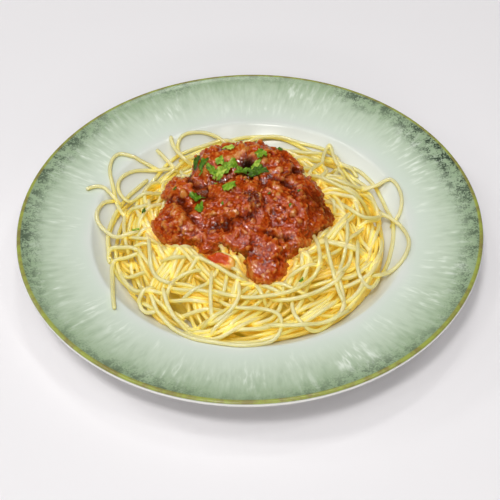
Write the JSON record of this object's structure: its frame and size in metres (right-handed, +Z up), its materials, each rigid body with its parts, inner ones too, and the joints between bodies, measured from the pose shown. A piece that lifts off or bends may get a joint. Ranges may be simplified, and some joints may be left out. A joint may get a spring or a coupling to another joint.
{
  "type": "pasta bolognese on a plate",
  "caption": "Round glazed plate with a heap of spaghetti, meat sauce in soft lobes on top and chopped parsley.",
  "frame": {"origin": "middle of the plate's foot, on the surface that it stands on", "axes": "+Z up, -Y towards the picture's viewer, +X to the viewer's right"},
  "size_m": [0.28, 0.28, 0.0479],
  "materials": {
    "plate": "stoneware with a glossy pale green reactive glaze",
    "spaghetti": "cooked pasta, moist and slightly glossy",
    "bolognese_sauce": "minced meat in tomato sauce, wet and glossy",
    "sauce_smear": "thin oily tomato sauce",
    "parsley": "fresh chopped parsley leaf"
  },
  "bodies": {
    "root": {"plate": "plate", "spaghetti": "spaghetti", "bolognese_sauce": "bolognese_sauce", "sauce_smear": "sauce_smear", "parsley_1": "parsley", "parsley_2": "parsley", "parsley_3": "parsley", "parsley_4": "parsley", "parsley_5": "parsley", "parsley_6": "parsley", "parsley_7": "parsley", "parsley_8": "parsley", "parsley_9": "parsley", "parsley_10": "parsley", "parsley_11": "parsley", "parsley_12": "parsley", "parsley_13": "parsley"}
  },
  "joints": []
}
